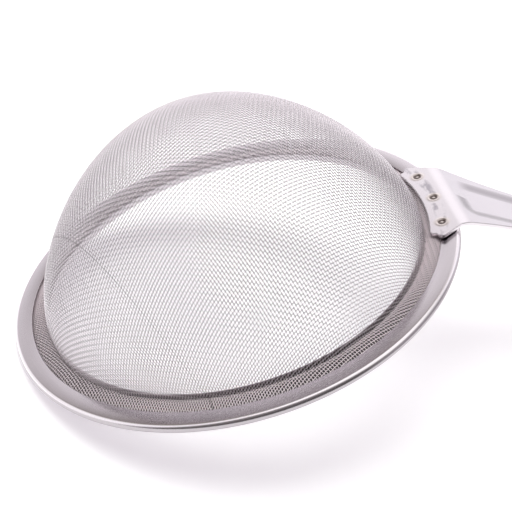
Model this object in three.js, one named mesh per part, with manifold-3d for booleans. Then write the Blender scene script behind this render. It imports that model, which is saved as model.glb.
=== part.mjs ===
// A foam skimmer: a dome of woven wire cloth, its edge clamped in a folded steel rim, and a stamped
// steel handle welded on top of the rim. Millimetres, +Z up. The skimmer lies as it is put down on a
// table: dome up, resting on the rim's far edge and on the tip of the handle, which points along +X.
import * as THREE from 'three';
import { mergeVertices } from 'three/addons/utils/BufferGeometryUtils.js';
import Module from 'manifold-3d';

const { degToRad, lerp, clamp, smoothstep } = THREE.MathUtils;

// Rim: a strip folded over the cloth's edge, round a hoop of wire. Its lower leg backs the cloth up to
// the crease and ends in a collar inside the dome's foot
const RIM_D = 100; // outside diameter
const BAND_W = 4.1; // from the outer edge to the inner edge of the flat band
const STRIP_T = 0.35; // thickness of the strip
const HOOP_D = 0.7; // wire of the hoop
const FIT_GAP = 0.25; // between pieces that are pressed or welded together
const COLLAR_RISE = 0.9; // collar above the crease
const COLLAR_BEND_R = 0.4; // inside radius at the collar's foot

// Wire cloth: a dome with a crease at its foot and a ridge between the crease and the band
const CLOTH_T = 0.4; // two crossing wires
const FLANGE_W = 3.5; // from the band's inner edge to the crease
const CREASE_DROP = 0.4; // crease below the top of the ridge
const DOME_H = 37.6; // crown above the crease
const DOME_POWERS = { r: 1.82, z: 1.52 }; // how full the dome is

// Openings: a plain grid on the unrolled dome stands for the weave, which is too fine for a solid
const GRID_ACROSS = 12; // openings from side to side
const GRID_OPEN = 0.7; // share of the pitch that is open
const GRID_TURN = 45; // degrees, from the handle to the grid's bars
const GRID_FOOT = 1.6; // closed cloth above the crease
const GRID_CUT = 1.5; // cutters beyond each face of the cloth

// Handle: one stamped sheet, measured along the sheet from the start of the bend
const SHEET_T = 0.8;
const TAB_CLEAR = 1.35; // between the tab's inner edge and the dome's crease
const TAB_IN_W = 26; // width at the tab's inner corners
const TAB_W = 29.4; // largest width of the tab
const TAB_SHOULDER = 2.4; // from the inner corners to the largest width
const TAB_CORNER_R = 1.4;
const BEND_W = 24.2; // width at the bend
const BEND_R = 2.5; // inside radius
const BEND_ANGLE = 34; // degrees, away from the dome
const HANDLE_L = 150; // from the bend to the tip
const NECK_W = 14.4; // narrowest width
const NECK_RUN = 13; // length over which the neck draws in
const NECK_POW = 1.3; // how square the neck's shoulders are
const GRIP_W = 17.6; // width at the far end
const GRIP_START = 40; // where the handle begins to widen again
const TROUGH_START = 3.4; // pressed trough, from its first end
const TROUGH_D = 1.2; // depth
const TROUGH_WALL = 1.6; // run of its sloping wall
const TROUGH_CORNER_R = 4;
const BORDER_W = 1.8; // flat border beside the trough
const SLOT_W = 7; // hang slot
const SLOT_L = 14;
const SLOT_EDGE = 6; // metal between the slot and the tip
const SLOT_LAND = 6; // flat metal between the slot and the trough
const WELD_D = 2.2; // weld dents in the tab
const WELD_DENT = 0.2; // depth
const WELD_PITCH = 9.6; // between neighbouring welds

// Facets
const ROUND_SIDES = 60; // round the rim and the dome
const BEAD_STEPS = 6; // round half of the rim's outer edge
const COLLAR_STEPS = 2; // in the bend at the collar's foot
const HOOP_SIDES = 8;
const RIDGE_STEPS = 3; // from the band to the crease
const DOME_STEPS = 10; // from the crease to the crown
const CORNER_STEPS = 3; // in a rounded corner
const BEND_STEPS = 4;
const TIP_STEPS = 6; // round half of the handle's tip
const SLOT_STEPS = 8; // round each end of the slot
const WELD_SIDES = 16;

// The rim's frame: z = 0 is its middle plane, +z the dome's side, +x towards the handle
const RIM_R = RIM_D / 2;
const BAND_IN_R = RIM_R - BAND_W;
const BEAD_R = HOOP_D / 2 + FIT_GAP + STRIP_T; // round outer edge, about the hoop
const HOOP_R = RIM_R - BEAD_R;
const LIP_H = CLOTH_T / 2 + FIT_GAP + STRIP_T; // half thickness at the band's inner edge
const CREASE_R = BAND_IN_R - FLANGE_W;
const RIDGE_H = BEAD_R - CLOTH_T / 2; // the ridge stands as high as the rim's crown
const CREASE_H = RIDGE_H - CREASE_DROP;
const CLOTH_EDGE_R = HOOP_R - HOOP_D / 2 - FIT_GAP;
const COLLAR_R = CREASE_R - CLOTH_T / 2 - FIT_GAP - STRIP_T; // inner face of the collar
const COLLAR_H = CREASE_H + COLLAR_RISE;

const TAB_Z = BEAD_R + FIT_GAP + SHEET_T / 2; // middle of the tab's sheet
const TAB_IN_R = CREASE_R + TAB_CLEAR;
const BEND_MID_R = BEND_R + SHEET_T / 2;
const BEND_A = degToRad(BEND_ANGLE);
const BEND_L = BEND_MID_R * BEND_A;
const BEND_X = HOOP_R; // the bend starts on the crown of the rim's edge
const TIP_R = GRIP_W / 2;
const SLOT_END = HANDLE_L - SLOT_EDGE;
const TROUGH_END = SLOT_END - SLOT_L - SLOT_LAND;

const steel = (color, roughness) => new THREE.MeshStandardMaterial({ color, roughness, metalness: 1 });
const CLOTH_STEEL = steel(0xb9b5b8, 0.4);
const RIM_STEEL = steel(0xb4b0b4, 0.35);
const HOOP_STEEL = steel(0xa8a6a8, 0.4);
const HANDLE_STEEL = steel(0xc9c5ca, 0.3);

// Solid of revolution about z from a closed outline of [radius, z] points
function turned(outline) {
  const points = [...outline, outline[0]].map(([r, z]) => new THREE.Vector2(r, z));
  const halfSide = Math.PI / ROUND_SIDES; // a flat, not a corner, faces the table
  const lathe = new THREE.LatheGeometry(points, ROUND_SIDES, halfSide);
  return welded(lathe.rotateX(Math.PI / 2));
}

// The same surface with its repeated vertices joined, so that it is closed
function welded(geometry) {
  const positionOnly = new THREE.BufferGeometry();
  positionOnly.setAttribute('position', geometry.getAttribute('position'));
  positionOnly.setIndex(geometry.getIndex());
  return dropSlivers(mergeVertices(positionOnly, 1e-4));
}

// Triangles that joining the vertices has flattened are left out
function dropSlivers(geometry) {
  const index = geometry.getIndex().array;
  const kept = [];
  for (let i = 0; i < index.length; i += 3) {
    const [a, b, c] = index.slice(i, i + 3);
    if (a !== b && b !== c && c !== a) kept.push(a, b, c);
  }
  geometry.setIndex(kept);
  geometry.computeVertexNormals();
  return geometry;
}

function arc(r, z, radius, from, to, steps) {
  return Array.from({ length: steps + 1 }, (_, i) => {
    const a = lerp(from, to, i / steps);
    return [r + radius * Math.cos(a), z + radius * Math.sin(a)];
  });
}

// Rim band: both legs lean in from the round edge, the upper one to a lip on the cloth and the lower one
// to the collar
function rimBand() {
  const quarter = Math.PI / 2;
  const outside = arc(HOOP_R, 0, BEAD_R, -quarter, quarter, BEAD_STEPS);
  const inside = arc(HOOP_R, 0, BEAD_R - STRIP_T, quarter, -quarter, BEAD_STEPS);
  const footR = COLLAR_R + STRIP_T + COLLAR_BEND_R;
  const footZ = STRIP_T + COLLAR_BEND_R - LIP_H;
  const foot = (radius) => arc(footR, footZ, radius, -2 * quarter, -quarter, COLLAR_STEPS);
  return turned([
    [COLLAR_R, COLLAR_H],
    ...foot(STRIP_T + COLLAR_BEND_R),
    ...outside,
    [BAND_IN_R, LIP_H],
    [BAND_IN_R, LIP_H - STRIP_T],
    ...inside,
    ...foot(COLLAR_BEND_R).reverse(),
    [COLLAR_R + STRIP_T, COLLAR_H],
  ]);
}

// Hoop of wire inside the fold
function rimWire() {
  const ring = arc(HOOP_R, 0, HOOP_D / 2, 0, 2 * Math.PI, HOOP_SIDES);
  return turned(ring.slice(0, -1));
}

// Middle line of the cloth from its edge in the rim to the crown
function clothLine() {
  const line = [[CLOTH_EDGE_R, 0], [BAND_IN_R, 0]];
  const bulge = RIDGE_H - CREASE_H / 2;
  for (let i = 1; i < RIDGE_STEPS; i += 1) {
    const t = i / RIDGE_STEPS;
    line.push([lerp(BAND_IN_R, CREASE_R, t), lerp(0, CREASE_H, t) + bulge * Math.sin(Math.PI * t)]);
  }
  return [...line, ...domeLine()];
}

// Middle line of the dome from the crease to the crown
function domeLine() {
  return Array.from({ length: DOME_STEPS + 1 }, (_, i) => {
    const a = (i / DOME_STEPS) * Math.PI / 2;
    const r = CREASE_R * Math.cos(a) ** (2 / DOME_POWERS.r);
    const z = CREASE_H + DOME_H * Math.sin(a) ** (2 / DOME_POWERS.z);
    return [r, z];
  });
}

// Cloth without its openings: the middle line offset by half the cloth's thickness to both sides
function closedCloth() {
  const line = clothLine();
  const last = line.length - 1;
  const side = (sign) => line.map(([r, z], i) => {
    if (i === last) return [0, z + sign * CLOTH_T / 2];
    const [r0, z0] = line[Math.max(i - 1, 0)];
    const [r1, z1] = line[i + 1];
    const run = Math.hypot(r1 - r0, z1 - z0);
    const reach = sign * CLOTH_T / 2 / run;
    return [r + (z1 - z0) * reach, z - (r1 - r0) * reach];
  });
  return turned([...side(-1), ...side(1).reverse()].reverse());
}

// Openings as solids to cut: each square of the grid is laid on the dome, as far from the crown as on the
// unrolled cloth
function gridCutters() {
  const fromCrown = domeLine().toReversed().map(([r, z]) => new THREE.Vector2(r, z));
  const meridian = new THREE.SplineCurve(fromCrown);
  const reach = meridian.getLength();
  const pitch = 2 * reach / GRID_ACROSS;
  const turn = degToRad(GRID_TURN);
  const onDome = (x, y, lift) => {
    const share = Math.min(Math.hypot(x, y) / reach, 1);
    const place = meridian.getPointAt(share);
    const along = meridian.getTangentAt(share);
    const r = place.x - lift * along.y;
    const a = Math.atan2(y, x) + turn;
    return [r * Math.cos(a), r * Math.sin(a), place.y + lift * along.x];
  };
  const opening = (x, y) => {
    const half = pitch * GRID_OPEN / 2;
    const corners = [[x - half, y - half], [x + half, y - half], [x + half, y + half], [x - half, y + half]];
    const cutter = new THREE.BufferGeometry();
    const positions = [-GRID_CUT, GRID_CUT].flatMap((lift) => corners.flatMap((c) => onDome(...c, lift)));
    cutter.setAttribute('position', new THREE.Float32BufferAttribute(positions, 3));
    const sides = [0, 1, 2, 3].flatMap((i) => {
      const j = (i + 1) % 4;
      return [i, j, j + 4, i, j + 4, i + 4];
    });
    cutter.setIndex([0, 2, 1, 0, 3, 2, 4, 5, 6, 4, 6, 7, ...sides]);
    return toManifold(cutter);
  };
  const cutters = [];
  for (let i = 0; i < GRID_ACROSS; i += 1) {
    for (let j = 0; j < GRID_ACROSS; j += 1) {
      const [x, y] = [i, j].map((k) => pitch * (k + 0.5) - reach);
      if (Math.hypot(x, y) < reach) cutters.push(opening(x, y));
    }
  }
  const room = [4 * CREASE_R, 4 * CREASE_R, 2 * DOME_H];
  const aboveFoot = wasm.Manifold.cube(room, true).translate([0, 0, CREASE_H + GRID_FOOT + DOME_H]);
  return wasm.Manifold.union(cutters).intersect(aboveFoot);
}

function meshBowl() {
  return toGeometry(toManifold(closedCloth()).subtract(gridCutters()));
}

// A place on the handle's sheet: s along it, y across it, h above its middle
function onSheet(s, y, h) {
  const turn = clamp(s / BEND_MID_R, 0, BEND_A);
  const after = Math.max(s - BEND_L, 0);
  const x = BEND_X + Math.min(s, 0) + BEND_MID_R * Math.sin(turn) + after * Math.cos(BEND_A);
  const z = TAB_Z - BEND_MID_R * (1 - Math.cos(turn)) - after * Math.sin(BEND_A);
  return new THREE.Vector3(x + h * Math.sin(turn), y, z + h * Math.cos(turn));
}

// Half the handle's width from the bend on
function halfWidth(s) {
  const neck = Math.exp(-((Math.max(s, 0) / NECK_RUN) ** NECK_POW));
  const grip = smoothstep(s, GRIP_START, TROUGH_END);
  return (NECK_W + (BEND_W - NECK_W) * neck + (GRIP_W - NECK_W) * grip) / 2;
}

// Depth of the pressed trough, with sloping walls and rounded corners
function troughDepth(s, y) {
  const fromEnd = Math.min(s - TROUGH_START, TROUGH_END - s);
  const fromSide = halfWidth(s) - BORDER_W - Math.abs(y);
  const r = TROUGH_CORNER_R;
  const inCorner = fromEnd < r && fromSide < r;
  const inside = inCorner ? r - Math.hypot(r - fromEnd, r - fromSide) : Math.min(fromEnd, fromSide);
  return TROUGH_D * smoothstep(inside, 0, TROUGH_WALL);
}

// Rows across the sheet, from the tab's curved inner edge to the tip
function sheetRows() {
  const innerEdge = (y) => Math.sqrt(TAB_IN_R ** 2 - y ** 2) - BEND_X;
  const tabL = -innerEdge(TAB_IN_W / 2);
  const tabRow = (fromEdge, half) => ({ half, s: (y) => innerEdge(y) * (1 - fromEdge / tabL) });
  const rows = [];
  for (let i = 0; i <= CORNER_STEPS; i += 1) {
    const a = (i / CORNER_STEPS) * Math.PI / 2;
    rows.push(tabRow(TAB_CORNER_R * (1 - Math.cos(a)), TAB_IN_W / 2 - TAB_CORNER_R * (1 - Math.sin(a))));
  }
  rows.push(tabRow(TAB_SHOULDER, TAB_W / 2));
  rows.push(tabRow((TAB_SHOULDER + tabL) / 2, (TAB_W + BEND_W) / 4));

  const behind = (s) => rows.push({ half: halfWidth(s), s: () => s });
  for (let i = 0; i <= BEND_STEPS; i += 1) behind(BEND_L * i / BEND_STEPS);
  const wall = [0, TROUGH_WALL / 2, TROUGH_WALL, TROUGH_CORNER_R];
  wall.forEach((step) => behind(TROUGH_START + step));
  const first = TROUGH_START + TROUGH_CORNER_R;
  const last = TROUGH_END - TROUGH_CORNER_R;
  const runs = Math.ceil((last - first) / NECK_RUN);
  for (let i = 1; i < runs; i += 1) behind(lerp(first, last, i / runs));
  wall.toReversed().forEach((step) => behind(TROUGH_END - step));

  for (let i = 0; i < TIP_STEPS; i += 1) {
    const a = (i / TIP_STEPS) * Math.PI / 2;
    const s = HANDLE_L - TIP_R + TIP_R * Math.sin(a);
    rows.push({ half: TIP_R * Math.cos(a), s: () => s });
  }
  const flat = TIP_R * Math.cos(Math.PI / 2 * (TIP_STEPS - 0.5) / TIP_STEPS);
  rows.push({ half: flat, s: () => HANDLE_L });
  return rows;
}

// Places across a row, closest together over the trough's walls, which narrow with a short row
function acrossRow(half) {
  const edge = Math.min(BORDER_W + TROUGH_WALL, half / 2);
  const top = half - edge * BORDER_W / (BORDER_W + TROUGH_WALL);
  const foot = half - edge;
  const outer = [half, top, (top + foot) / 2, foot, foot / 2];
  return [...outer.map((y) => -y), 0, ...outer.toReversed()];
}

// The stamped sheet as a closed solid
function stampedSheet() {
  const rows = sheetRows().map(({ half, s }) => acrossRow(half).map((y) => [s(y), y]));
  const wide = rows[0].length;
  const positions = [];
  for (const h of [SHEET_T / 2, -SHEET_T / 2]) {
    for (const [s, y] of rows.flat()) positions.push(...onSheet(s, y, h - troughDepth(s, y)));
  }
  const count = rows.length * wide;
  const index = [];
  const quad = (a, b, c, d) => index.push(a, b, c, a, c, d);
  for (let i = 0; i < rows.length - 1; i += 1) {
    for (let j = 0; j < wide - 1; j += 1) {
      const a = i * wide + j;
      const d = a + wide;
      quad(a, d, d + 1, a + 1);
      quad(count + a, count + a + 1, count + d + 1, count + d);
    }
    const left = i * wide;
    const right = left + wide - 1;
    quad(left, count + left, count + left + wide, left + wide);
    quad(right, right + wide, count + right + wide, count + right);
  }
  const tip = (rows.length - 1) * wide;
  for (let j = 0; j < wide - 1; j += 1) {
    quad(j, j + 1, count + j + 1, count + j);
    quad(tip + j, count + tip + j, count + tip + j + 1, tip + j + 1);
  }
  const sheet = new THREE.BufferGeometry();
  sheet.setAttribute('position', new THREE.Float32BufferAttribute(positions, 3));
  sheet.setIndex(index);
  return sheet;
}

// Hang slot as a solid to cut, through the sheet near the tip
function slotCutter() {
  const r = SLOT_W / 2;
  const outline = new THREE.Shape();
  outline.absarc(SLOT_END - r, 0, r, -Math.PI / 2, Math.PI / 2);
  outline.absarc(SLOT_END - SLOT_L + r, 0, r, Math.PI / 2, Math.PI * 1.5);
  const depth = 4 * SHEET_T; // clear of both faces
  const shape = { depth, bevelEnabled: false, curveSegments: SLOT_STEPS };
  const cutter = new THREE.ExtrudeGeometry(outline, shape);
  cutter.translate(-BEND_L, 0, -depth / 2).rotateY(BEND_A);
  const { x, y, z } = onSheet(BEND_L, 0, 0);
  return cutter.translate(x, y, z);
}

// Weld dents: one on the handle's line and one to each side, round the middle of the tab
function weldCutters() {
  const weldR = (TAB_IN_R + BEND_X) / 2;
  return [-1, 0, 1].map((place) => {
    const y = place * WELD_PITCH;
    const x = Math.sqrt(weldR ** 2 - y ** 2);
    const dent = new THREE.CylinderGeometry(WELD_D / 2, WELD_D / 2, 2 * WELD_DENT, WELD_SIDES);
    return dent.rotateX(Math.PI / 2).translate(x, y, TAB_Z + SHEET_T / 2);
  });
}

const wasm = await Module();
wasm.setup();

function toManifold(geometry) {
  const closed = welded(geometry);
  const vertProperties = new Float32Array(closed.getAttribute('position').array);
  const triVerts = new Uint32Array(closed.getIndex().array);
  return new wasm.Manifold(new wasm.Mesh({ numProp: 3, vertProperties, triVerts }));
}

function toGeometry(solid) {
  const { vertProperties, triVerts } = solid.getMesh();
  const geometry = new THREE.BufferGeometry();
  geometry.setAttribute('position', new THREE.Float32BufferAttribute(vertProperties, 3));
  geometry.setIndex([...triVerts]);
  return welded(geometry);
}

function handle() {
  const cutters = [slotCutter(), ...weldCutters()].map(toManifold);
  const cut = cutters.reduce((sheet, cutter) => sheet.subtract(cutter), toManifold(stampedSheet()));
  return toGeometry(cut);
}

function piece(name, geometry, material) {
  const mesh = new THREE.Mesh(geometry, material);
  mesh.name = name;
  return mesh;
}

// The line under the rim's far edge and the handle's tip is level when the skimmer lies on a table
const tip = onSheet(HANDLE_L, 0, -SHEET_T / 2);
const reach = Math.hypot(tip.x + HOOP_R, tip.z);
const TILT = Math.atan2(-tip.z, tip.x + HOOP_R) - Math.asin(BEAD_R / reach);

const lying = new THREE.Group();
lying.add(
  piece('mesh_bowl', meshBowl(), CLOTH_STEEL),
  piece('rim_band', rimBand(), RIM_STEEL),
  piece('rim_wire', rimWire(), HOOP_STEEL),
  piece('handle', handle(), HANDLE_STEEL),
);
lying.rotation.y = -TILT;

// The origin is the middle of the skimmer's box, on the table
const box = new THREE.Box3().setFromObject(lying, true);
const middle = box.getCenter(new THREE.Vector3());
lying.position.set(-middle.x, -middle.y, -box.min.z);

const skimmer = new THREE.Group();
skimmer.add(lying);

export default skimmer;
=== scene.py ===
import math

import bpy
import numpy as np
from mathutils import Matrix, Vector


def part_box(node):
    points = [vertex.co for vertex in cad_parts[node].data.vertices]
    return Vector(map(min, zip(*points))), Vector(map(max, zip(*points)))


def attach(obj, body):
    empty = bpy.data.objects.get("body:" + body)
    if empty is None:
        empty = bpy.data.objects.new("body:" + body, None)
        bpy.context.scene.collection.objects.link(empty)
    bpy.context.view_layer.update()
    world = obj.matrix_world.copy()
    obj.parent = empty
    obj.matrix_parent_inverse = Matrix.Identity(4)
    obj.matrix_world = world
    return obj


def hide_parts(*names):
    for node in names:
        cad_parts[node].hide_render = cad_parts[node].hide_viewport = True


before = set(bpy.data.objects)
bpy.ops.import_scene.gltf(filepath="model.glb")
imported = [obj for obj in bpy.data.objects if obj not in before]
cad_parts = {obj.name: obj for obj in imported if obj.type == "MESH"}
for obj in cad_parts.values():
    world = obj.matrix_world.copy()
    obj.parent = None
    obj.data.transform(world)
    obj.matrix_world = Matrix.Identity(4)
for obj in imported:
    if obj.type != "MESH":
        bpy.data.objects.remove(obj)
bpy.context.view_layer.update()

MM = 0.001

# Rim, in millimetres: a strip folded over the cloth's edge and round a hoop of wire. Its lower leg ends in
# a collar inside the dome's foot.
RIM_R = 50.0
BAND_W = 4.1
STRIP_T = 0.35
HOOP_D = 0.7
FIT_GAP = 0.25
COLLAR_RISE = 0.9
COLLAR_BEND_R = 0.4
LIP_ROUND = 0.12  # rounding of the strip's cut edge
RIM_STEPS = 240  # round the rim

# Wire cloth: dome, crease, ridge and the edge inside the rim
CLOTH_T = 0.4
FLANGE_W = 3.5
CREASE_DROP = 0.4
DOME_H = 37.6
DOME_POW_R = 1.82
DOME_POW_Z = 1.52
DOME_SAMPLES = 600
RIDGE_SAMPLES = 60
WIRE_D = 0.15
WIRE_SIDES = 6
WARP_CRIMP = 0.08  # from the cloth's middle to the middle of a wire at a crossing
WEFT_CRIMP = 0.12
WARP_STEP = 0.7175  # between crossings along a warp wire
WEFT_STEP = 0.595  # between crossings along a weft wire
WARP_TURN = math.radians(-62)  # direction of the warp wires, from the handle
TARNISHED_WARP = 54  # one warp wire is darker
CROWN_REACH = 15.0  # round the crown, lengths on the cloth are as good as straight
SETTLE_STEPS = 8  # rounds in which a crossing finds its place
CLOTH_PIECES = 5  # in which the wires of one direction are shared out

# Handle: one stamped sheet, measured along the sheet from the start of the bend
SHEET_T = 0.8
TAB_CLEAR = 1.35
TAB_IN_W = 26.0
TAB_W = 29.4
TAB_SHOULDER = 2.4
TAB_CORNER_R = 1.4
TAB_BLEND = 1.8  # softness of the tab's widest place
BEND_W = 24.2
BEND_R = 2.5
BEND_SOFT_R = 5.4  # drawn softer than the CAD bend, round the same corner
BEND_A = math.radians(34)
HANDLE_L = 150.0
NECK_W = 14.4
NECK_RUN = 13.0
NECK_POW = 1.3
GRIP_W = 17.6
GRIP_START = 40.0
TROUGH_START = 2.0
TROUGH_D = 0.4
TROUGH_ASIDE = 0.3  # the trough lies a little off the sheet's middle
TROUGH_WALL = 3.4
TROUGH_CORNER_R = 4.0
TROUGH_FLARE = 0.25  # how far the trough follows the sheet's width
BORDER_W = 0.3
SLOT_W = 7.0
SLOT_L = 14.0
SLOT_EDGE = 6.0
SLOT_LAND = 6.0
SLOT_STEPS = 25  # round each end of the slot
WELD_D = 2.2
WELD_PITCH = 9.6
WELD_DENT = 0.10
WELD_RIM = 0.03
EDGE_ROUND = 0.16

# Rows and columns of the handle's mesh
SHEET_COLUMNS = 161
CORNER_ROWS = 9
TAB_ROWS = 44
NECK_ROWS = 50
SHAFT_ROWS = 90
TIP_ROWS = 18
TIP_TURN = math.radians(84)  # from the tip's sides to its last round row
TIP_BLUNT = math.radians(87)  # width of the row at the very tip

# Sizes that follow
BAND_IN_R = RIM_R - BAND_W
BEAD_R = HOOP_D / 2 + FIT_GAP + STRIP_T
HOOP_R = RIM_R - BEAD_R
LIP_H = CLOTH_T / 2 + FIT_GAP + STRIP_T
CREASE_R = BAND_IN_R - FLANGE_W
RIDGE_H = BEAD_R - CLOTH_T / 2
CREASE_H = RIDGE_H - CREASE_DROP
CLOTH_EDGE_R = HOOP_R - HOOP_D / 2 - FIT_GAP
COLLAR_R = CREASE_R - CLOTH_T / 2 - FIT_GAP - STRIP_T
COLLAR_H = CREASE_H + COLLAR_RISE
TAB_Z = BEAD_R + FIT_GAP + SHEET_T / 2
TAB_IN_R = CREASE_R + TAB_CLEAR
BEND_X = HOOP_R
BEND_MID_R = BEND_SOFT_R + SHEET_T / 2
BEND_START = (BEND_R - BEND_SOFT_R) * math.tan(BEND_A / 2)
BEND_END = BEND_START + BEND_MID_R * BEND_A
NECK_END = TROUGH_START + 12.0
TIP_R = GRIP_W / 2
TIP_START = HANDLE_L - TIP_R
SLOT_END = HANDLE_L - SLOT_EDGE
TROUGH_END = SLOT_END - SLOT_L - SLOT_LAND
WELD_R = (TAB_IN_R + BEND_X) / 2
WELDS = [(math.sqrt(WELD_R**2 - across**2), across) for across in (-WELD_PITCH, 0.0, WELD_PITCH)]


def on_sheet(s, y, h):
    """Points of the handle in the rim's frame: s along the sheet, y across it, h above its middle."""
    turn = np.clip((s - BEND_START) / BEND_MID_R, 0, BEND_A)
    after = np.maximum(s - BEND_END, 0)
    x = BEND_X + np.minimum(s, BEND_START) + BEND_MID_R * np.sin(turn) + after * math.cos(BEND_A)
    z = TAB_Z - BEND_MID_R * (1 - np.cos(turn)) - after * math.sin(BEND_A)
    return np.stack(np.broadcast_arrays(x + h * np.sin(turn), y, z + h * np.cos(turn)), axis=-1)


# The skimmer lies on the rim's far edge and the handle's tip
TIP = on_sheet(np.float64(HANDLE_L), 0.0, -SHEET_T / 2)
TIP_REACH = math.hypot(TIP[0] + HOOP_R, TIP[2])
TILT = math.atan2(-TIP[2], TIP[0] + HOOP_R) - math.asin(BEAD_R / TIP_REACH)
RIM_LOW, RIM_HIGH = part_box("rim_band")
RIM_CENTRE = (RIM_LOW + RIM_HIGH) / 2
RIM_FRAME = Matrix.Translation(RIM_CENTRE) @ Matrix.Rotation(-TILT, 4, "Y")
FROM_MM = RIM_FRAME @ Matrix.Scale(MM, 4)

# Meshes

MERGE_GAP = 1e-4
SMOOTH_ANGLE = math.radians(40)


def smooth(value, low, high):
    t = np.clip((value - low) / (high - low), 0, 1)
    return t * t * (3 - 2 * t)


def only(obj):
    """Makes obj the one selected, active object."""
    bpy.ops.object.select_all(action="DESELECT")
    obj.select_set(True)
    bpy.context.view_layer.objects.active = obj
    return obj


def new_mesh(name, points, faces=(), edges=()):
    mesh = bpy.data.meshes.new(name)
    mesh.from_pydata([tuple(p) for p in points], [tuple(e) for e in edges], [tuple(f) for f in faces])
    obj = bpy.data.objects.new(name, mesh)
    bpy.context.scene.collection.objects.link(obj)
    return only(obj)


def edit(obj, steps):
    """Runs operators on the whole of obj in edit mode."""
    only(obj)
    bpy.ops.object.mode_set(mode="EDIT")
    bpy.ops.mesh.select_all(action="SELECT")
    steps()
    bpy.ops.object.mode_set(mode="OBJECT")


def face_outwards(obj):
    edit(obj, lambda: bpy.ops.mesh.normals_make_consistent(inside=False))


def mark_points(mesh, name, values):
    """A value for every point of a mesh, as an attribute that a material reads."""
    marks = mesh.attributes.new(name, "FLOAT", "POINT")
    marks.data.foreach_set("value", np.asarray(values, dtype=np.float32))


def finish_piece(obj, node, material):
    """A finished piece: it rides on the part, hides the CAD node in its place and wears a material."""
    obj.data.materials.clear()
    obj.data.materials.append(material)
    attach(obj, "root")
    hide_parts(node)


# Materials


class Value:
    """An output of a node, with arithmetic."""

    def __init__(self, tree, socket):
        self.tree = tree
        self.socket = socket

    def __add__(self, other):
        return self.tree.math("ADD", self, other)

    def __radd__(self, other):
        return self.tree.math("ADD", other, self)

    def __sub__(self, other):
        return self.tree.math("SUBTRACT", self, other)

    def __rsub__(self, other):
        return self.tree.math("SUBTRACT", other, self)

    def __mul__(self, other):
        return self.tree.math("MULTIPLY", self, other)

    def __rmul__(self, other):
        return self.tree.math("MULTIPLY", other, self)

    def __truediv__(self, other):
        return self.tree.math("DIVIDE", self, other)

    def __rtruediv__(self, other):
        return self.tree.math("DIVIDE", other, self)


class Tree:
    """A node tree, with one method that adds nodes and short forms of those used often."""

    def __init__(self, tree):
        self.tree = tree

    def node(self, kind, settings=None, sockets=None, output=0):
        """Adds a node: its settings first, then the values or links of its sockets."""
        made = self.tree.nodes.new(kind)
        for key, value in (settings or {}).items():
            setattr(made, key, value)
        for key, value in (sockets or {}).items():
            self.feed(made.inputs[key], value)
        return Value(self, made.outputs[output])

    def feed(self, socket, value):
        if isinstance(value, Value):
            self.tree.links.new(value.socket, socket)
        else:
            socket.default_value = value

    def math(self, operation, a, b=0.0):
        return self.node("ShaderNodeMath", {"operation": operation}, {0: a, 1: b})

    def length(self, a, b):
        return self.math("SQRT", a * a + b * b)

    def clamp(self, value):
        return self.node("ShaderNodeClamp", {}, {"Value": value})

    def ramp(self, value, low, high, to_low=0.0, to_high=1.0):
        sockets = {"Value": value, 1: low, 2: high, 3: to_low, 4: to_high}
        return self.node("ShaderNodeMapRange", {"interpolation_type": "SMOOTHSTEP"}, sockets)

    def mix(self, factor, a, b):
        """Mixes two colours."""
        return self.node("ShaderNodeMix", {"data_type": "RGBA"}, {"Factor": factor, 6: a, 7: b}, output=2)

    def split(self, vector):
        """The three parts of a vector."""
        first = self.node("ShaderNodeSeparateXYZ", {}, {0: vector})
        return [Value(self, part) for part in first.socket.node.outputs]

    def join(self, x, y, z):
        return self.node("ShaderNodeCombineXYZ", {}, {0: x, 1: y, 2: z})


class Finish(Tree):
    """A node material with one Principled shader."""

    def __init__(self, name, **constants):
        self.material = bpy.data.materials.new(name)
        self.material.use_nodes = True
        super().__init__(self.material.node_tree)
        self.shader = self.tree.nodes["Principled BSDF"]
        self.wear(**constants)

    def rim_place(self):
        """Object coordinates turned into the rim's frame, in metres."""
        place = self.node("ShaderNodeTexCoord", output="Object")
        turned = {"Vector": place, "Location": RIM_CENTRE, "Rotation": (0.0, -TILT, 0.0)}
        return self.node("ShaderNodeMapping", {"vector_type": "TEXTURE"}, turned)

    def zone(self, value, limits, to_low=0.0, to_high=1.0):
        """A soft step between two limits in millimetres."""
        low, high = limits
        return self.ramp(value, low * MM, high * MM, to_low, to_high)

    def mark(self, name):
        """A value that the mesh's points carry."""
        return self.node("ShaderNodeAttribute", {"attribute_name": name}, output="Fac")

    def noise(self, vector, scale=1.0, detail=2.0, roughness=0.5):
        sockets = {"Vector": vector, "Scale": scale, "Detail": detail, "Roughness": roughness}
        return self.node("ShaderNodeTexNoise", {"normalize": True}, sockets)

    def brush(self, scratches):
        """Bumps as shallow as brush marks."""
        sockets = {"Height": scratches, "Strength": BRUSH_STRENGTH, "Distance": BRUSH_DEPTH * MM}
        self.wear(Normal=self.node("ShaderNodeBump", {}, sockets))

    def wear(self, **inputs):
        """Sets or links inputs of the shader."""
        for socket, value in inputs.items():
            self.feed(self.shader.inputs[socket.replace("_", " ")], value)
        return self.material


# The warp's tones are set darker than the weft's: painted shade on one of two families of the same wire.
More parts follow.
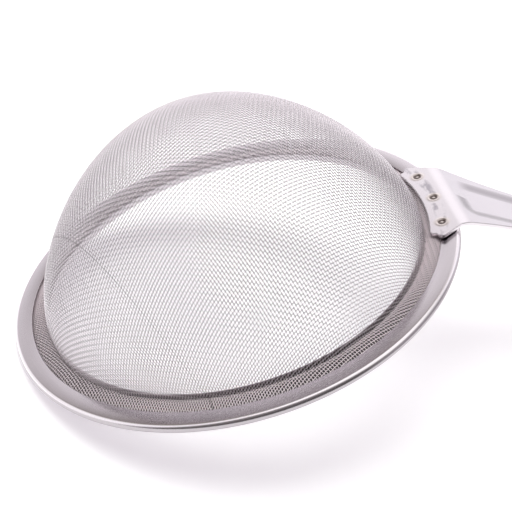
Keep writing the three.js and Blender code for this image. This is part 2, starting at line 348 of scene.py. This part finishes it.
WARP_DULL = (0.62, 0.585, 0.605, 1)
WARP_CLEAR = (0.76, 0.725, 0.745, 1)
WEFT_DULL = (0.70, 0.665, 0.685, 1)
WEFT_CLEAR = (0.84, 0.80, 0.825, 1)
WIRE_PAINTED_HIGHLIGHT = (0.97, 0.93, 0.955, 1)
WIRE_RIM_SHEEN = (0.98, 0.885, 0.915, 1)
WIRE_PAINTED_SHADE = (0.06, 0.056, 0.058, 1)
WIRE_TARNISHED = (0.12, 0.11, 0.115, 1)
BAND_DULL = (0.56, 0.525, 0.55, 1)
BAND_CLEAR = (0.74, 0.70, 0.73, 1)
BAND_PAINTED_SHADE = (0.15, 0.134, 0.133, 1)
BEAD_PAINTED_HIGHLIGHT = (0.90, 0.86, 0.885, 1)
RIM_SIDE_PAINTED_SHADE = (0.48, 0.45, 0.47, 1)
HANDLE_DULL = (0.66, 0.625, 0.65, 1)
HANDLE_CLEAR = (0.80, 0.765, 0.79, 1)
HANDLE_SCUFFED = (0.42, 0.40, 0.43, 1)
TROUGH_PAINTED_SHADE = (0.30, 0.28, 0.295, 1)
HEAT_TINT = (0.62, 0.53, 0.43, 1)
WELD_BURNT = (0.16, 0.13, 0.12, 1)
FLANK_SHADE = 0.85  # how far the painted shade and painted highlight on a crimp's two sides reach
TARNISH_SHADE = 0.7
TROUGH_PAINTED_SHADE_AMOUNT = 0.85
RIM_SHEEN_MATT = 0.95  # how far the wire under the painted rim sheen loses its metal gloss
BRUSH_STRENGTH = 0.05
BRUSH_DEPTH = 0.02
BRUSH_FINE = 9000.0  # brush marks to the metre, across the strip
BRUSH_ROUND = 6.0  # brush marks to the radian, round the rim
POLISH_FINE = 5200.0  # polishing lines to the metre, across the handle
POLISH_ALONG = 160.0

# Where finishes change, in millimetres in the rim's frame
RIM_SHEEN_ZONE = (CREASE_R - 0.3, CREASE_R + 0.4)
FAR_SIDE = (-8.0, 8.0)
FAR_HEIGHT = (0.2 * DOME_H, 0.45 * DOME_H)
HANDLE_SIDE = (0.0, 32.0)
FOOT_HEIGHT = (0.05 * DOME_H, 0.35 * DOME_H)
FLANK_FADE = (-6.0, 8.0)
UNDER_CLOTH = (BAND_IN_R, BAND_IN_R - 0.2)
UPPER_FACE = (-LIP_H, STRIP_T - LIP_H)
PAST_COLLAR = (COLLAR_R + STRIP_T / 2, COLLAR_R + STRIP_T)
BEAD = (HOOP_R, HOOP_R + 0.25)
OUTER_SIDE = (RIM_R - 0.35, RIM_R - 0.15)
SCUFF_REACH = (1.5, 0.6)  # from the row of welds


def wire_steel(name, dull, clear, handle_side):
    """Drawn wire with faint patches. Its crimps carry painted shade on one side and a painted highlight on
    the other. At the rim it is painted near white and made mostly matt, a painted sheen, and it carries a
    painted highlight on the dome's far side, and with handle_side 1 toward the handle too."""
    steel = Finish(name)
    place = steel.rim_place()
    x, y, z = steel.split(place)
    # Painted sheen: at the rim the wires are painted near white and made mostly matt
    rim_sheen = steel.zone(steel.length(x, y), RIM_SHEEN_ZONE)
    # Painted highlight on the dome's far side, and toward the handle with handle_side 1
    far_side_highlight = steel.zone(y, FAR_SIDE) * steel.zone(z, FAR_HEIGHT)
    painted_highlight_zone = steel.math("MAXIMUM", far_side_highlight, handle_side * steel.zone(x + y, HANDLE_SIDE))
    foot = steel.zone(z, FOOT_HEIGHT, 0.3, 1.0)
    painted_flank_light = steel.mark("painted_flank_light") * FLANK_SHADE * foot * steel.zone(y, FLANK_FADE, 1.0, 0.15)
    patches = steel.noise(place, scale=55.0, detail=3.0)
    grain = steel.noise(place, scale=2600.0, detail=1.0)
    colour = steel.mix(patches, dull, clear)
    colour = steel.mix(painted_highlight_zone, colour, WIRE_PAINTED_HIGHLIGHT)
    # Painted shade on one side of every crimp, a painted highlight on the other
    colour = steel.mix(steel.clamp(0.0 - painted_flank_light), colour, WIRE_PAINTED_SHADE)
    colour = steel.mix(steel.clamp(painted_flank_light), colour, WIRE_PAINTED_HIGHLIGHT)
    colour = steel.mix(rim_sheen, colour, WIRE_RIM_SHEEN)
    colour = steel.mix(steel.mark("tarnish") * TARNISH_SHADE, colour, WIRE_TARNISHED)
    rough = 0.14 + 0.08 * patches + 0.06 * grain
    return steel.wear(Base_Color=colour, Roughness=rough, Metallic=1.0 - RIM_SHEEN_MATT * rim_sheen)


def band_steel():
    """Satin strip, brushed round the rim, with faint smears. Painted shade darkens it under the cloth's
    flange, a painted highlight lightens the bead and painted shade greys its outer side."""
    steel = Finish("band_steel", Metallic=1.0)
    x, y, z = steel.split(steel.rim_place())
    radius = steel.length(x, y)
    around = steel.math("ARCTAN2", y, 0.0 - x)
    brushed = steel.join(radius * BRUSH_FINE, around * BRUSH_ROUND, z * BRUSH_FINE)
    streaks = steel.noise(brushed, detail=3.0, roughness=0.6)
    smears = steel.noise(steel.join(x, y, z), scale=70.0, detail=3.0)
    shade = 0.5 * streaks + 0.5 * smears
    # Painted shade on the strip under the cloth's flange
    under_cloth_shade = steel.zone(radius, UNDER_CLOTH) * steel.zone(z, UPPER_FACE) * steel.zone(radius, PAST_COLLAR)
    colour = steel.mix(shade, BAND_DULL, BAND_CLEAR)
    colour = steel.mix(under_cloth_shade, colour, BAND_PAINTED_SHADE)
    # Painted highlight on the bead and painted shade on the rim's outer side
    colour = steel.mix(steel.zone(radius, BEAD), colour, BEAD_PAINTED_HIGHLIGHT)
    colour = steel.mix(steel.zone(radius, OUTER_SIDE), colour, RIM_SIDE_PAINTED_SHADE)
    steel.brush(streaks)
    return steel.wear(Base_Color=colour, Roughness=0.16 + 0.10 * shade)


def handle_steel():
    """Polished stamped sheet: faint polishing lines, smears, scuffs between the welds, painted shade on the
    walls of the trough and straw heat tint round the welds."""
    steel = Finish("handle_steel", Metallic=1.0)
    x, y, z = steel.split(steel.rim_place())
    polished = steel.join(x * POLISH_ALONG, y * POLISH_FINE, z * POLISH_ALONG)
    lines = steel.noise(polished, detail=3.0, roughness=0.6)
    smears = steel.noise(steel.join(x, y, z), scale=90.0, detail=4.0, roughness=0.55)
    beside = steel.math("ABSOLUTE", steel.length(x, y) - WELD_R * MM)
    specks = steel.noise(steel.join(x * 2.0, y, z), scale=330.0, detail=2.0)
    scuffs = steel.ramp(specks, 0.45, 0.7) * steel.zone(beside, SCUFF_REACH)
    heat = 0.0
    burnt = 0.0
    for along, across in WELDS:
        near = steel.length(x - along * MM, y - across * MM) / (WELD_D * MM)
        heat = heat + steel.ramp(near, 1.0, 0.45)
        burnt = burnt + steel.ramp(near, 0.46, 0.34) * steel.ramp(near, 0.08, 0.2)
    colour = steel.mix(smears, HANDLE_DULL, HANDLE_CLEAR)
    colour = steel.mix(scuffs, colour, HANDLE_SCUFFED)
    # Painted shade on the trough's walls
    colour = steel.mix(steel.mark("trough_painted_shade") * TROUGH_PAINTED_SHADE_AMOUNT, colour, TROUGH_PAINTED_SHADE)
    colour = steel.mix(steel.clamp(heat * (0.2 + 0.5 * smears)), colour, HEAT_TINT)
    colour = steel.mix(steel.clamp(burnt), colour, WELD_BURNT)
    steel.brush(lines)
    return steel.wear(Base_Color=colour, Roughness=0.16 + 0.10 * smears + 0.06 * lines)


# Rim band and hoop


def arc(r, z, radius, start, end, steps):
    angles = np.linspace(start, end, steps + 1)
    return [(r + radius * math.cos(a), z + radius * math.sin(a)) for a in angles]


def rim_outline():
    """Closed outline of the folded strip: the bead, a leg to a lip on the cloth and a leg to the collar."""
    quarter = math.pi / 2
    lip_r = BAND_IN_R + LIP_ROUND
    lip_z = LIP_H - STRIP_T / 2
    lip_in = STRIP_T / 2 - LIP_ROUND
    foot_r = COLLAR_R + STRIP_T + COLLAR_BEND_R
    foot_z = STRIP_T + COLLAR_BEND_R - LIP_H
    brim_r = COLLAR_R + STRIP_T / 2
    return [
        *arc(foot_r, foot_z, STRIP_T + COLLAR_BEND_R, -2 * quarter, -quarter, 8),
        *arc(HOOP_R, 0, BEAD_R, -quarter, quarter, 24),
        *arc(lip_r, lip_z + lip_in, LIP_ROUND, quarter, 2 * quarter, 4),
        *arc(lip_r, lip_z - lip_in, LIP_ROUND, 2 * quarter, 3 * quarter, 4),
        *arc(HOOP_R, 0, BEAD_R - STRIP_T, quarter, -quarter, 16),
        *arc(foot_r, foot_z, COLLAR_BEND_R, -quarter, -2 * quarter, 6),
        *arc(brim_r, COLLAR_H - STRIP_T / 2, STRIP_T / 2, 0, 2 * quarter, 8),
    ]


def make_rim_band(material):
    outline = rim_outline()
    count = len(outline)
    edges = [(i, (i + 1) % count) for i in range(count)]
    rim = new_mesh("rim_strip", [(r, 0, z) for r, z in outline], edges=edges)

    def revolve():
        bpy.ops.mesh.spin(steps=RIM_STEPS, angle=2 * math.pi, center=(0, 0, 0), axis=(0, 0, 1))
        bpy.ops.mesh.remove_doubles(threshold=MERGE_GAP)
        bpy.ops.mesh.normals_make_consistent(inside=False)

    edit(rim, revolve)
    rim.data.transform(FROM_MM)
    only(rim)
    bpy.ops.object.shade_smooth_by_angle(angle=SMOOTH_ANGLE)
    finish_piece(rim, "rim_band", material)


def finish_hoop(material):
    """The hoop inside the fold stays the CAD model's solid, with a wire's finish."""
    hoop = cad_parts["rim_wire"]
    hoop.data.materials.clear()
    hoop.data.materials.append(material)


# Wire cloth


def cloth_meridian():
    """Reach along the cloth from the crown, with the radius and height there."""
    a = np.linspace(math.pi / 2, 0, DOME_SAMPLES)
    dome_r = CREASE_R * np.cos(a) ** (2 / DOME_POW_R)
    dome_z = CREASE_H + DOME_H * np.sin(a) ** (2 / DOME_POW_Z)
    t = np.linspace(1, 0, RIDGE_SAMPLES)[1:]
    bulge = RIDGE_H - CREASE_H / 2
    ridge_r = BAND_IN_R + (CREASE_R - BAND_IN_R) * t
    ridge_z = CREASE_H * t + bulge * np.sin(math.pi * t)
    spare = 4.0  # past the edge, where wires are then cut
    r = np.concatenate([dome_r, ridge_r, [CLOTH_EDGE_R + spare]])
    z = np.concatenate([dome_z, ridge_z, [0.0]])
    reach = np.concatenate([[0], np.cumsum(np.hypot(np.diff(r), np.diff(z)))])
    return reach, r, z


class ClothSurface:
    """The dome as a surface over the plane that it unrolls to along its meridians."""

    def __init__(self):
        self.reach, self.r, self.z = cloth_meridian()
        self.slope_r = np.gradient(self.r, self.reach)
        self.slope_z = np.gradient(self.z, self.reach)

    def at(self, flat):
        m = np.linalg.norm(flat, axis=-1)
        way = flat / np.maximum(m, 1e-9)[..., None]
        r = np.interp(m, self.reach, self.r)
        z = np.interp(m, self.reach, self.z)
        return np.concatenate([way * r[..., None], z[..., None]], axis=-1)

    def gap(self, a, b):
        """Squared lengths between neighbouring crossings: along the cloth, or straight near the crown."""
        reach_a = np.linalg.norm(a, axis=-1)
        reach_b = np.linalg.norm(b, axis=-1)
        turn = np.arctan2(a[..., 0] * b[..., 1] - a[..., 1] * b[..., 0], (a * b).sum(-1))
        middle = (reach_a + reach_b) / 2
        along = (reach_a - reach_b) ** 2 + (np.interp(middle, self.reach, self.r) * turn) ** 2
        straight = ((self.at(a) - self.at(b)) ** 2).sum(-1)
        return np.where(middle > CROWN_REACH, along, straight)

    def normal(self, flat):
        m = np.linalg.norm(flat, axis=-1)
        way = flat / np.maximum(m, 1e-9)[..., None]
        out = -np.interp(m, self.reach, self.slope_z)
        up = np.interp(m, self.reach, self.slope_r)
        n = np.concatenate([way * out[..., None], up[..., None]], axis=-1)
        return n / np.linalg.norm(n, axis=-1, keepdims=True)


def cloth_net(surface):
    """Crossings of one quarter of the cloth, where every mesh keeps the length of its sides as the
    cloth shears over the dome: flat[i, j] is the crossing of weft i and warp j. Unset ones are NaN."""
    furthest = surface.reach[-1]
    ni = int(furthest / WARP_STEP)
    nj = int(furthest / WEFT_STEP)
    flat = np.full((ni, nj, 2), np.nan)
    flat[:, 0] = np.stack([np.arange(ni) * WARP_STEP, np.zeros(ni)], axis=-1)
    flat[0, :] = np.stack([np.zeros(nj), np.arange(nj) * WEFT_STEP], axis=-1)
    nudge = 1e-3
    for diagonal in range(2, ni + nj - 1):
        i = np.arange(max(1, diagonal - nj + 1), min(ni, diagonal))
        j = diagonal - i
        beside, below = flat[i, j - 1], flat[i - 1, j]
        guess = beside + below - flat[i - 1, j - 1]
        known = np.isfinite(guess).all(axis=-1)
        i, j, guess, beside, below = (part[known] for part in (i, j, guess, beside, below))

        def miss(place):
            weft_miss = surface.gap(place, beside) - WEFT_STEP**2
            warp_miss = surface.gap(place, below) - WARP_STEP**2
            return np.stack([weft_miss, warp_miss], axis=-1)

        for _ in range(SETTLE_STEPS):
            now = miss(guess)
            aside = (miss(guess + (nudge, 0)) - now) / nudge
            ahead = (miss(guess + (0, nudge)) - now) / nudge
            slopes = np.stack([aside, ahead], axis=-1)
            guess = guess - (np.linalg.pinv(slopes) @ now[..., None])[..., 0]
        guess[np.linalg.norm(guess, axis=-1) >= furthest] = np.nan
        flat[i, j] = guess
    return flat


def cloth_wires():
    """Middle lines of the warp and the weft wires, in the rim's frame, over and under each other."""
    surface = ClothSurface()
    flat = cloth_net(surface)
    places = surface.at(flat)
    normals = surface.normal(flat)
    i, j = np.indices(flat.shape[:2])
    over = np.where((i + j) % 2 == 0, 1, -1)[..., None]
    inside = np.hypot(places[..., 0], places[..., 1]) <= CLOTH_EDGE_R
    warp_way = np.array([math.cos(WARP_TURN), math.sin(WARP_TURN), 0])
    weft_way = np.array([-math.sin(WARP_TURN), math.cos(WARP_TURN), 0])
    axes = np.stack([warp_way, weft_way, (0, 0, 1)])
    warp_at = places + normals * over * WARP_CRIMP
    weft_at = places - normals * over * WEFT_CRIMP

    def whole(half, mirror):
        """A wire from edge to edge: half of it and its mirror image, with a point between crossings."""
        line = np.concatenate([half[:0:-1] * mirror, half])
        full = np.empty((2 * len(line) - 1, 3))
        full[0::2] = line
        full[1::2] = (line[1:] + line[:-1]) / 2
        return full

    def family(rows, kept, mirror, other):
        """All wires of one direction, in order: one side of the dome's middle and its mirror image."""
        wires = []
        for row, stay in zip(rows, kept):
            count = int(np.argmin(stay)) if not stay.all() else len(stay)
            if count < 2:
                break
            wires.append(whole(row[:count], mirror))
        both = [wire * other for wire in reversed(wires[1:])] + wires
        return [wire @ axes for wire in both]

    flip_warp = np.array([-1, 1, 1])
    flip_weft = np.array([1, -1, 1])
    warp = family(np.swapaxes(warp_at, 0, 1), inside.T, flip_warp, flip_weft)
    weft = family(weft_at, inside, flip_weft, flip_warp)
    return warp, weft


def unwrap_wires(mesh, wires):
    """A strip of the UV square for every wire: along the wire one way and round it the other."""
    rings = np.array([len(wire) for wire in wires])
    wire_of = np.repeat(np.arange(len(wires)), rings)
    first = np.cumsum(rings) - rings
    along = (np.arange(len(wire_of)) - first[wire_of]) / (rings[wire_of] - 1)
    corner = np.empty(len(mesh.loops), dtype=np.int32)
    mesh.loops.foreach_get("vertex_index", corner)
    corners = np.empty(len(mesh.polygons), dtype=np.int32)
    mesh.polygons.foreach_get("loop_total", corners)
    face_of = np.repeat(np.arange(len(corners)), corners)
    ring, side = np.divmod(corner, WIRE_SIDES)
    starts = np.bincount(face_of, side == 0) > 0
    ends = np.bincount(face_of, side == WIRE_SIDES - 1) > 0
    seam = (starts & ends)[face_of]
    side = np.where(seam & (side == 0), WIRE_SIDES, side)
    margin = 0.1  # of a strip's width
    across = (wire_of[ring] + margin + (1 - 2 * margin) * side / WIRE_SIDES) / len(wires)
    layer = mesh.uv_layers.new(name="OFBake")
    layer.uv.foreach_set("vector", np.stack([along[ring], across], axis=-1).astype(np.float32).ravel())


def draw_wires(name, wires):
    """Round wires along these lines, as one mesh. Their open ends lie in the rim's fold."""
    curve = bpy.data.curves.new(name, "CURVE")
    curve.dimensions = "3D"
    curve.bevel_depth = WIRE_D / 2
    curve.bevel_resolution = WIRE_SIDES // 2 - 2
    for wire in wires:
        spline = curve.splines.new("POLY")
        spline.points.add(len(wire) - 1)
        spline.points.foreach_set("co", np.c_[wire, np.ones(len(wire))].ravel())
    obj = bpy.data.objects.new(name, curve)
    bpy.context.scene.collection.objects.link(obj)
    only(obj)
    bpy.ops.object.convert(target="MESH")
    obj = bpy.context.view_layer.objects.active
    obj.data.transform(FROM_MM)
    unwrap_wires(obj.data, wires)
    return obj


def crimp_flanks(wires):
    """How each point of the wires leans: 1 and -1 by turns halfway between crossings, 0 at a crossing."""
    leans = []
    for place, wire in enumerate(wires, -(len(wires) // 2)):
        lean = np.zeros(len(wire))
        crossing = np.arange(len(wire) // 2) - len(wire) // 4
        lean[1::2] = np.where((crossing + place) % 2 == 0, 1, -1)
        leans.append(lean)
    return leans


def share_out(wires, pieces):
    """The wires' places in groups of about the same length, in order."""
    points = np.cumsum([len(wire) for wire in wires])
    group = (points - 1) * pieces // points[-1]
    return [np.flatnonzero(group == k) for k in range(pieces)]


def make_cloth(warp_finish, weft_finish):
    """Both directions of wires, with painted shade and painted highlights on the crimps' two sides. The
    weft's lean is turned the other way, so that the painted light and dark zigzag.
    """
    warp, weft = cloth_wires()
    for name, wires, material, way in (("warp", warp, warp_finish, 1), ("weft", weft, weft_finish, -1)):
        leans = crimp_flanks(wires)
        for k, group in enumerate(share_out(wires, CLOTH_PIECES)):
            piece = draw_wires(f"cloth_{name}_{k + 1}", [wires[w] for w in group])
            lean = np.concatenate([leans[w] for w in group])
            # Which side of each crimp takes painted shade and which a painted highlight
            mark_points(piece.data, "painted_flank_light", np.repeat(way * lean, WIRE_SIDES))
            if name == "warp":
                dark = np.concatenate([np.full(len(wires[w]), w == TARNISHED_WARP) for w in group])
                mark_points(piece.data, "tarnish", np.repeat(dark, WIRE_SIDES))
            finish_piece(piece, "mesh_bowl", material)


# Handle


def half_width(s):
    neck = np.exp(-((np.maximum(s, 0) / NECK_RUN) ** NECK_POW))
    grip = smooth(s, GRIP_START, TROUGH_END)
    return (NECK_W + (BEND_W - NECK_W) * neck + (GRIP_W - NECK_W) * grip) / 2


def trough_depth(s, y):
    from_end = np.minimum(s - TROUGH_START, TROUGH_END - s)
    trough_half = TROUGH_FLARE * half_width(s) + (1 - TROUGH_FLARE) * NECK_W / 2 - BORDER_W
    from_side = trough_half - np.abs(y + TROUGH_ASIDE)
    r = TROUGH_CORNER_R
    corner = (from_end < r) & (from_side < r)
    rounded = r - np.hypot(r - from_end, r - from_side)
    inside = np.where(corner, rounded, np.minimum(from_end, from_side))
    return TROUGH_D * smooth(inside, 0, TROUGH_WALL)


def weld_shape(x, y):
    """Height of the tab's face round the welds: a ring-shaped dent round a low middle, and a faint rim."""
    height = np.zeros_like(x)
    for along, across in WELDS:
        near = np.hypot(x - along, y - across) / (WELD_D / 2)
        low = 1 - smooth(near, 0.5, 0.95)
        ring = np.exp(-(((near - 0.5) / 0.2) ** 2))
        rim = np.exp(-(((near - 1.1) / 0.25) ** 2))
        height += WELD_RIM * rim - WELD_DENT * (low + ring)
    return height


def tab_half(e, tab_l):
    """Half the tab's width at a distance from its inner edge."""
    corner = TAB_IN_W / 2 - TAB_CORNER_R * (1 - np.sqrt(np.clip(1 - (1 - e / TAB_CORNER_R) ** 2, 0, 1)))
    flare = TAB_IN_W / 2 + (TAB_W - TAB_IN_W) / 2 * (e - TAB_CORNER_R) / (TAB_SHOULDER - TAB_CORNER_R)
    taper = TAB_W / 2 + (BEND_W - TAB_W) / 2 * (e - TAB_SHOULDER) / (tab_l - TAB_SHOULDER)
    h = np.clip(0.5 + 0.5 * (taper - flare) / TAB_BLEND, 0, 1)
    widest = taper * (1 - h) + flare * h - TAB_BLEND * h * (1 - h)
    return np.where(e < TAB_CORNER_R, corner, widest)


def sheet_grid():
    """s and y of a grid over the whole sheet, row by row from the tab's inner edge to the tip."""
    columns = np.linspace(-1, 1, SHEET_COLUMNS)
    tab_l = BEND_X - math.sqrt(TAB_IN_R**2 - (TAB_IN_W / 2) ** 2)
    corner = TAB_CORNER_R * (1 - np.cos(np.linspace(0, math.pi / 2, CORNER_ROWS)))
    tab = np.concatenate([corner, np.linspace(TAB_CORNER_R, tab_l, TAB_ROWS)[1:-1]])
    s_rows, y_rows = [], []
    for e in tab:
        y = columns * tab_half(np.float64(e), tab_l)
        edge = np.sqrt(TAB_IN_R**2 - y**2) - BEND_X
        s_rows.append(edge * (1 - e / tab_l))
        y_rows.append(y)
    neck = np.linspace(0, NECK_END, NECK_ROWS)
    shaft = np.linspace(NECK_END, TIP_START, SHAFT_ROWS)[1:]
    for s in np.concatenate([neck, shaft]):
        s_rows.append(np.full_like(columns, s))
        y_rows.append(columns * half_width(np.float64(s)))
    for a in np.linspace(0, TIP_TURN, TIP_ROWS)[1:]:
        s_rows.append(np.full_like(columns, TIP_START + TIP_R * math.sin(a)))
        y_rows.append(columns * TIP_R * math.cos(a))
    s_rows.append(np.full_like(columns, HANDLE_L))
    y_rows.append(columns * TIP_R * math.cos(TIP_BLUNT))
    return np.array(s_rows), np.array(y_rows)


def painted_trough_shade_weights(s, y, depth):
    """How much painted shade each place on the trough's walls takes. The far wall's starts later and is
    fainter.
    """
    deep = depth / TROUGH_D
    steep = 4 * deep * (1 - deep)
    far_wall_shade = 0.75 * steep**0.35 * smooth(s, TROUGH_START + 2, TROUGH_START + 6)
    return np.where(y < 0, steep**0.6, far_wall_shade)


def make_handle(material):
    s, y = sheet_grid()
    depth = trough_depth(s, y)
    top = on_sheet(s, y, SHEET_T / 2 - depth + weld_shape(BEND_X + s, y) * (s < 0))
    low = on_sheet(s, y, -SHEET_T / 2 - depth)
    rows, wide = s.shape
    index = np.arange(rows * wide).reshape(rows, wide)
    under = index + rows * wide

    def quads(grid):
        return np.stack([grid[:-1, :-1], grid[1:, :-1], grid[1:, 1:], grid[:-1, 1:]], -1).reshape(-1, 4)

    ring = np.concatenate([index[0, :-1], index[:-1, -1], index[-1, :0:-1], index[:0:-1, 0]])
    after = np.roll(ring, -1)
    edge = np.stack([ring, after, after + rows * wide, ring + rows * wide], -1)
    faces = np.concatenate([quads(index), quads(under)[:, ::-1], edge])
    points = np.concatenate([top.reshape(-1, 3), low.reshape(-1, 3)])
    handle = new_mesh("stamped_handle", points, faces=faces)
    # Painted shade on the trough's walls, carried by the mesh's points
    mark_points(handle.data, "trough_painted_shade", np.tile(painted_trough_shade_weights(s, y, depth).ravel(), 2))
    face_outwards(handle)
    cut_slot(handle)
    round_edges(handle)
    handle.data.transform(FROM_MM)
    bpy.ops.object.shade_smooth_by_angle(angle=SMOOTH_ANGLE)
    finish_piece(handle, "handle", material)


def cut_slot(handle):
    """Cuts the hang slot through the sheet near the tip."""
    r = SLOT_W / 2
    outline = []
    for centre, start in ((SLOT_END - r, -90), (SLOT_END - SLOT_L + r, 90)):
        for a in np.radians(np.linspace(start, start + 180, SLOT_STEPS)):
            outline.append((centre + r * math.cos(a), r * math.sin(a)))
    s, y = np.array(outline).T
    count = len(outline)
    points = np.concatenate([on_sheet(s, y, 2 * SHEET_T), on_sheet(s, y, -2 * SHEET_T)])
    sides = [(k, (k + 1) % count, (k + 1) % count + count, k + count) for k in range(count)]
    cutter = new_mesh("slot_cutter", points, faces=[range(count), range(count, 2 * count), *sides])
    face_outwards(cutter)
    cut = handle.modifiers.new("slot", "BOOLEAN")
    cut.operation = "DIFFERENCE"
    cut.object = cutter
    cut.solver = "EXACT"
    only(handle)
    bpy.ops.object.modifier_apply(modifier="slot")
    bpy.data.objects.remove(cutter)


def round_edges(handle):
    bevel = handle.modifiers.new("edges", "BEVEL")
    bevel.width = EDGE_ROUND
    bevel.segments = 3
    bevel.limit_method = "ANGLE"
    bevel.angle_limit = math.radians(60)
    bevel.use_clamp_overlap = False
    only(handle)
    bpy.ops.object.modifier_apply(modifier="edges")


# Floor, light and camera

PHOTO_PX = 512
FOCAL_PX = 1000.0
RIM_CENTRE_PX = (232.1, 262.0)  # the rim's centre in the photograph
SENSOR_W = 36.0
VIEW_AZIMUTH = math.radians(12.21)
VIEW_ELEVATION = math.radians(33.11)
VIEW_ROLL = math.radians(7.48)
VIEW_DISTANCE = 4.4238 * RIM_R * MM
VIEW_AHEAD = Vector((
    math.cos(VIEW_ELEVATION) * math.sin(VIEW_AZIMUTH),
    math.cos(VIEW_ELEVATION) * math.cos(VIEW_AZIMUTH),
    -math.sin(VIEW_ELEVATION),
))
FLOOR_SIZE = 6.0
FLOOR_MATT = (0.80, 0.80, 0.80, 1)
FLOOR_SHADE = (0.90, 0.93, 0.90, 1)
FLOOR_GLOW = (0.295, 0.262, 0.30, 1)
ROOM_LIGHT = (0.60, 0.57, 0.59, 1)
ROOM_LEFT = (1.05, 1.02, 1.05, 1)
CEILING = (1.15, 1.12, 1.13, 1)
BACKDROP_WHITE = (1.10, 1.07, 1.12, 1)
BACKDROP_PALE = (1.06, 1.02, 1.06, 1)
WALL_GREY = (0.27, 0.238, 0.222, 1)
CAMERA_DARK = (0.18, 0.168, 0.17, 1)
WINDOW_WHITE = (1.45, 1.41, 1.45, 1)
PLAIN_WHITE = (1, 1, 1, 1)
BACKDROP_SLANT = 0.42  # the backdrop's upper edge rises to the right
BACKDROP_FROM = (0.05, 0.35)
BACKDROP_FADE = (0.1, 0.55)
BACKDROP_TOP = (0.60, 0.74)
LEFT_FROM = (-0.25, -0.6)
LEFT_TO = (-0.85, -0.55)
CEILING_FROM = (0.80, 0.92)
CAMERA_ROOM_AT = Vector((-VIEW_AHEAD.x, -VIEW_AHEAD.y, 0.25)).normalized()
CAMERA_SIDE = (0.42, 0.72)
WINDOW_AT = Vector((0.18, 0.84, 0.51)).normalized()
WINDOW_EDGE = (0.93, 1.0)
SOFTBOX_SIZE = 0.5
SOFTBOX_POWER = 2.3
SOFTBOX_AT = Vector((-0.12, 0.12, 0.57))


def make_camera():
    data = bpy.data.cameras.new("camera")
    data.sensor_width = SENSOR_W
    data.lens = FOCAL_PX / PHOTO_PX * SENSOR_W
    data.clip_start = 0.01
    camera = bpy.data.objects.new("camera", data)
    bpy.context.scene.collection.objects.link(camera)
    upright = VIEW_AHEAD.to_track_quat("-Z", "Y").to_matrix()
    turned = (upright @ Matrix.Rotation(VIEW_ROLL, 3, "Z")).to_4x4()
    right, up = turned.col[0].to_3d(), turned.col[1].to_3d()
    aside = [(px - PHOTO_PX / 2) / FOCAL_PX * VIEW_DISTANCE for px in RIM_CENTRE_PX]
    turned.translation = RIM_CENTRE - VIEW_AHEAD * VIEW_DISTANCE - right * aside[0] + up * aside[1]
    camera.matrix_world = turned
    bpy.context.scene.camera = camera


def seen(tree):
    """1 for rays that show a surface straight, in a reflection or through something clear."""
    rays = [f"Is {kind} Ray" for kind in ("Camera", "Glossy", "Transmission")]
    camera, glossy, clear = (tree.node("ShaderNodeLightPath", output=ray) for ray in rays)
    return tree.math("MAXIMUM", tree.math("MAXIMUM", camera, glossy), clear)


def make_floor():
    """A white table. Where it is seen it glows enough to be white, and its matt part keeps the shadows."""
    bpy.ops.object.select_all(action="DESELECT")
    bpy.ops.mesh.primitive_plane_add(size=FLOOR_SIZE, location=(0, 0, 0))
    floor = bpy.context.view_layer.objects.active
    floor.name = "floor"
    material = bpy.data.materials.new("floor_white")
    material.use_nodes = True
    tree = Tree(material.node_tree)
    matt = tree.node("ShaderNodeBsdfDiffuse", {}, {"Color": FLOOR_MATT})
    shade = tree.node("ShaderNodeBsdfDiffuse", {}, {"Color": FLOOR_SHADE})
    glow = tree.node("ShaderNodeEmission", {}, {"Color": FLOOR_GLOW})
    white = tree.node("ShaderNodeAddShader", {}, {0: shade, 1: glow})
    surface = tree.node("ShaderNodeMixShader", {}, {0: seen(tree), 1: matt, 2: white})
    tree.feed(tree.tree.nodes["Material Output"].inputs["Surface"], surface)
    floor.data.materials.append(material)


def make_room():
    """A room with a white backdrop and a window behind the skimmer, light on the left and dark round the
    camera. The camera itself sees plain white."""
    world = bpy.data.worlds.new("studio")
    bpy.context.scene.world = world
    world.use_nodes = True
    room = Tree(world.node_tree)
    x, y, z = room.split(room.node("ShaderNodeTexCoord", output="Generated"))
    height = z - BACKDROP_SLANT * x
    backdrop = room.mix(room.ramp(height, *BACKDROP_FADE), BACKDROP_WHITE, BACKDROP_PALE)
    backdrop = room.mix(room.ramp(height, *BACKDROP_TOP), backdrop, WALL_GREY)
    sides = room.mix(room.ramp(x, *LEFT_FROM), ROOM_LIGHT, ROOM_LEFT)
    around = room.mix(room.ramp(y, *BACKDROP_FROM) * room.ramp(x, *LEFT_TO), sides, backdrop)
    colour = room.mix(room.ramp(z, *CEILING_FROM), around, CEILING)

    def toward(way):
        return x * way.x + y * way.y + z * way.z

    colour = room.mix(room.ramp(toward(WINDOW_AT), *WINDOW_EDGE), colour, WINDOW_WHITE)
    colour = room.mix(room.ramp(toward(CAMERA_ROOM_AT), *CAMERA_SIDE), colour, CAMERA_DARK)
    straight = room.node("ShaderNodeLightPath", output="Is Camera Ray")
    colour = room.mix(straight, colour, PLAIN_WHITE)
    room.feed(world.node_tree.nodes["Background"].inputs["Color"], colour)


def make_softbox():
    lamp = bpy.data.lights.new("softbox", "AREA")
    lamp.shape = "SQUARE"
    lamp.size = SOFTBOX_SIZE
    lamp.energy = SOFTBOX_POWER
    soft = bpy.data.objects.new("softbox", lamp)
    bpy.context.scene.collection.objects.link(soft)
    soft.location = SOFTBOX_AT
    soft.visible_glossy = False
    aim = RIM_CENTRE - soft.location
    soft.rotation_euler = aim.to_track_quat("-Z", "Y").to_euler()


make_camera()
make_floor()
make_room()
make_softbox()
warp_finish = wire_steel("warp_steel", WARP_DULL, WARP_CLEAR, handle_side=0.0)
weft_finish = wire_steel("weft_steel", WEFT_DULL, WEFT_CLEAR, handle_side=1.0)
make_cloth(warp_finish, weft_finish)
make_rim_band(band_steel())
make_handle(handle_steel())
finish_hoop(weft_finish)

bpy.context.scene.view_settings.view_transform = "Standard"
